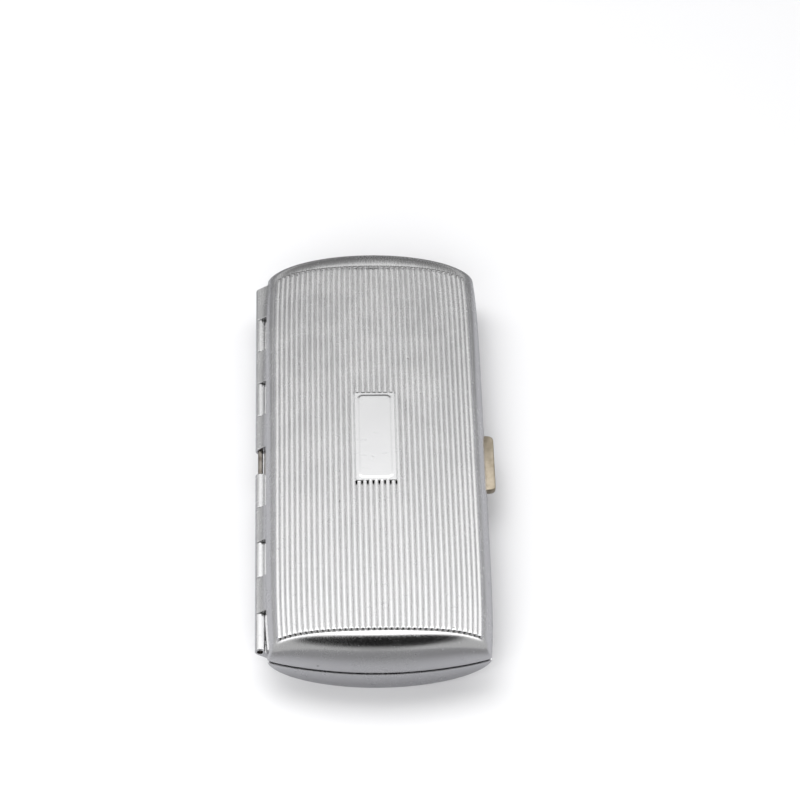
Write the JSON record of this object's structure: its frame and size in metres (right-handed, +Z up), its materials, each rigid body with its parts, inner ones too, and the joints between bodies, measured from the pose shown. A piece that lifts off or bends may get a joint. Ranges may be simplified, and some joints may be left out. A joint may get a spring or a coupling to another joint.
{
  "type": "eyeglasses case",
  "caption": "Hinged clamshell metal case for folding reading glasses, with a reeded crowned lid, a blank badge, a rolled side hinge, a spring push bar and a soft lining.",
  "frame": {"origin": "centre of the flat land under the base, on which the shut case rests", "axes": "+Z up through the lid, +Y along the length of the case, +X away from the hinge towards the push bar"},
  "size_m": [0.0482, 0.104, 0.017],
  "materials": {
    "shell_metal": "satin, lightly scuffed and pitted",
    "pin_steel": "drawn steel",
    "frame_metal": "satin",
    "latch_brass": "dull champagne plating",
    "spring_steel": "blued spring steel",
    "tray_plastic": "matte",
    "velvet": "short pile"
  },
  "bodies": {
    "base": {"base_shell": "shell_metal", "hinge_pin": "pin_steel", "base_rim_frame": "frame_metal", "latch_spring": "spring_steel", "latch_rivets": "spring_steel", "base_liner_tray": "tray_plastic", "base_velvet": "velvet"},
    "lid": {"lid_shell": "shell_metal", "lid_catch": "spring_steel", "lid_liner_tray": "tray_plastic", "lid_velvet": "velvet"},
    "push_bar": {"latch_bar": "latch_brass"}
  },
  "joints": [
    {"name": "lid_hinge", "type": "hinge", "parent": "base", "child": "lid", "pos_m": [-0.02305, 0, 0.00795], "axis": [0, -1, 0], "range_deg": [0, 180]},
    {"name": "latch_press", "type": "slide", "parent": "base", "child": "push_bar", "axis": [-1, 0, 0], "range_m": [0, 0.0012], "stiffness_N_per_m": 1500, "springref_m": -0.0004, "deforming": ["latch_spring"]}
  ]
}
